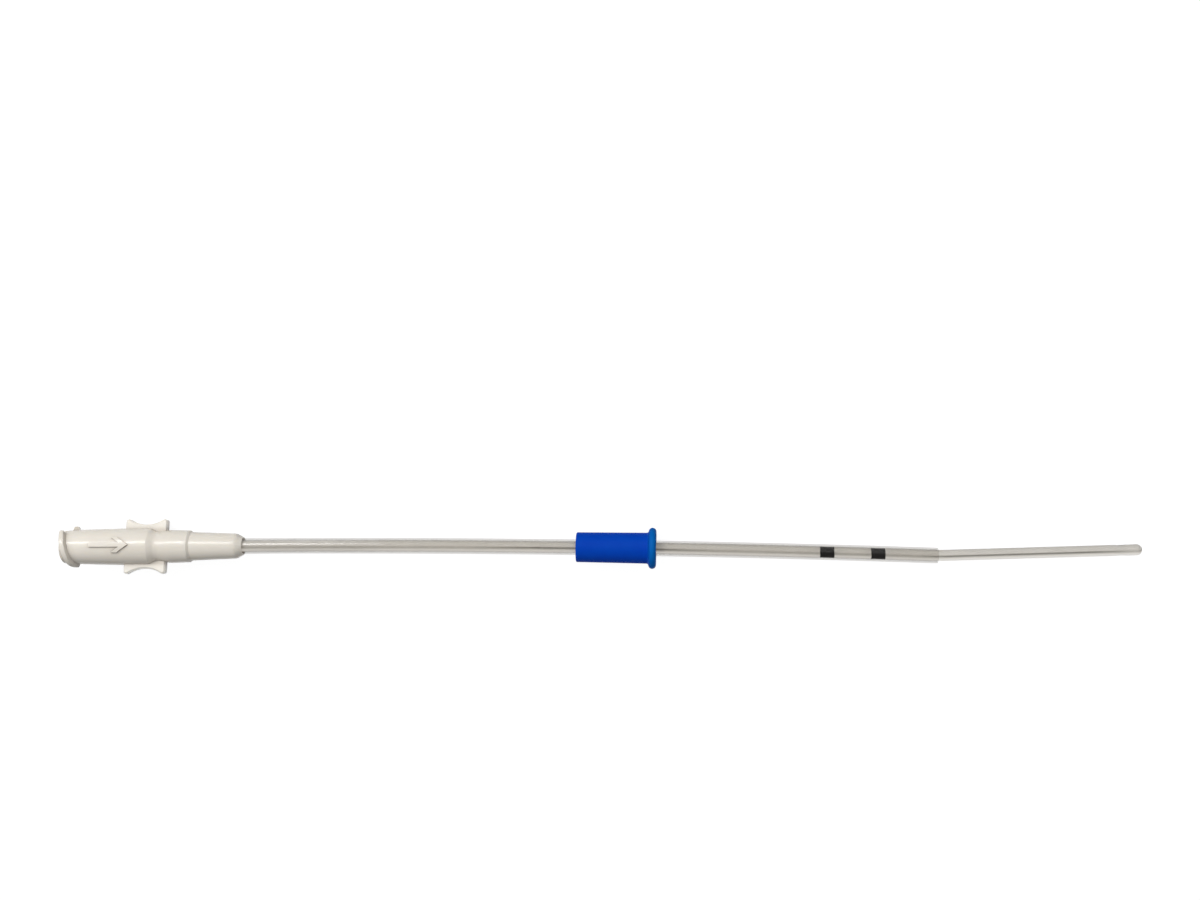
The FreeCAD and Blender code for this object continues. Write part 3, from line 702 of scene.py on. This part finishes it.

# %% [markdown]
# ## The soft tube and its depth marks
#
# The inner tube is soft translucent plastic with a satin skin, so most of its light comes from inside it, as
# subsurface scattering. A painted glow lies over the whole tube, brightest along its lower side, and stands
# in for light from the white ground coming up through it.
# A painted grey line runs along one side of the tube, standing in for the bore's shade seen through the
# wall, and is strongest in two stretches. Places round the tube are in turns from the UV map. Two black
# bands are printed on the tube, and the ink has creeping edges.

# %% The tube's finish
MARK_WIDTH = 2.85 * MM
MARK_PLACES = (145.2 * MM, 154.9 * MM)
MARK_EDGE = 0.12 * MM
MARK_WANDER = 0.25 * MM
BORE_SHADE_STRETCHES = ((78 * MM, 124 * MM, 12 * MM), (162 * MM, 203 * MM, 6 * MM))
PAINTED_BORE_SHADE_BAND = (0.235, 0.305, 0.025)
PAINTED_GLOW_SIDE = (0.30, 0.5, 0.06)
satin = plastic("tube_plastic")
place = satin.node("ShaderNodeTexCoord", {}, {})["Object"]
x = satin.node("ShaderNodeSeparateXYZ", {}, {"Vector": place})["X"]
wander = (satin.noise(place, 0.9 * MM) - 0.5) * MARK_WANDER
marks = sum(
    satin.band(x + wander, middle - MARK_WIDTH / 2, middle + MARK_WIDTH / 2, MARK_EDGE)
    for middle in MARK_PLACES
)
grain = satin.node("ShaderNodeUVMap", {"uv_map": "around_and_along"}, {})["UV"]
around = satin.node("ShaderNodeSeparateXYZ", {}, {"Vector": grain})["X"]
# Painted shade: a grey line at a fixed place round the tube stands in for the bore seen through the wall.
bore_shade_strength = sum(satin.band(x, *stretch) for stretch in BORE_SHADE_STRETCHES)
painted_bore_shade = satin.band(around, *PAINTED_BORE_SHADE_BAND) * (0.25 + 0.75 * bore_shade_strength)
clouds = satin.noise(place, 3 * MM, detail=3)
wall_colour = satin.blend(clouds, linear(218, 214, 207), linear(208, 204, 197))
wall_with_painted_bore_shade = satin.blend(painted_bore_shade * 0.7, wall_colour, linear(100, 98, 92))
ink = satin.blend(satin.noise(place, 0.4 * MM), linear(2, 2, 2), linear(26, 24, 24))
# Painted glow: emission over the whole tube, brightest along its lower side, stands in for light from the
# ground.
painted_glow_lower_side = satin.band(around, *PAINTED_GLOW_SIDE)
painted_tube_glow = satin.blend(painted_glow_lower_side, satin.blend(0.5, wall_with_painted_bore_shade, BLACK), (1.7, 1.66, 1.6))
shader = satin.node(
    "ShaderNodeBsdfPrincipled",
    {},
    {
        "Base Color": satin.blend(marks, wall_with_painted_bore_shade, ink),
        "Roughness": 0.35 + clouds * 0.1,
        "IOR": 1.25,
        "Subsurface Weight": 0.9,
        "Subsurface Radius": (1.0, 1.0, 0.95),
        "Subsurface Scale": 1.5 * MM,
        "Emission Color": satin.blend(marks, painted_tube_glow, BLACK),
        "Emission Strength": 0.25,
    },
)["BSDF"]
satin.cover(tube.data, shader)

# %% [markdown]
# ## Blue satin plastic
#
# The stopper is moulded in one strong blue. Its thin flange gets a lighter painted blue, standing in for the
# light that passes through it more than through the thick sleeve. The mould was lightly blasted, which leaves
# a fine grain and a dull, broad sheen.

# %% The stopper's finish
blue = plastic("stopper_plastic")
place = blue.node("ShaderNodeTexCoord", {}, {})["Object"]
x = blue.node("ShaderNodeSeparateXYZ", {}, {"Vector": place})["X"]
# Painted light: the flange gets a lighter blue, standing in for light through its thin plastic.
flange_x = stopper_x + flange_start
flange_painted_light = blue.node(
    "ShaderNodeMapRange", {}, {"Value": x, "From Min": flange_x - 0.3 * MM, "From Max": flange_x + 0.5 * MM}
)["Result"]
clouds = blue.noise(place, 2.5 * MM, detail=3)
sleeve_blue = blue.blend(clouds, linear(0, 80, 202), linear(0, 68, 194))
grain = blue.noise(place, 0.12 * MM)
bump = blue.node("ShaderNodeBump", {}, {"Strength": 0.3, "Distance": 0.01 * MM, "Height": grain})["Normal"]
shader = blue.node(
    "ShaderNodeBsdfPrincipled",
    {},
    {
        "Base Color": blue.blend(flange_painted_light, sleeve_blue, linear(0, 108, 198)),
        "Roughness": 0.5 + clouds * 0.12,
        "IOR": 1.16,
        "Normal": bump,
    },
)["BSDF"]
blue.cover(stopper.data, shader)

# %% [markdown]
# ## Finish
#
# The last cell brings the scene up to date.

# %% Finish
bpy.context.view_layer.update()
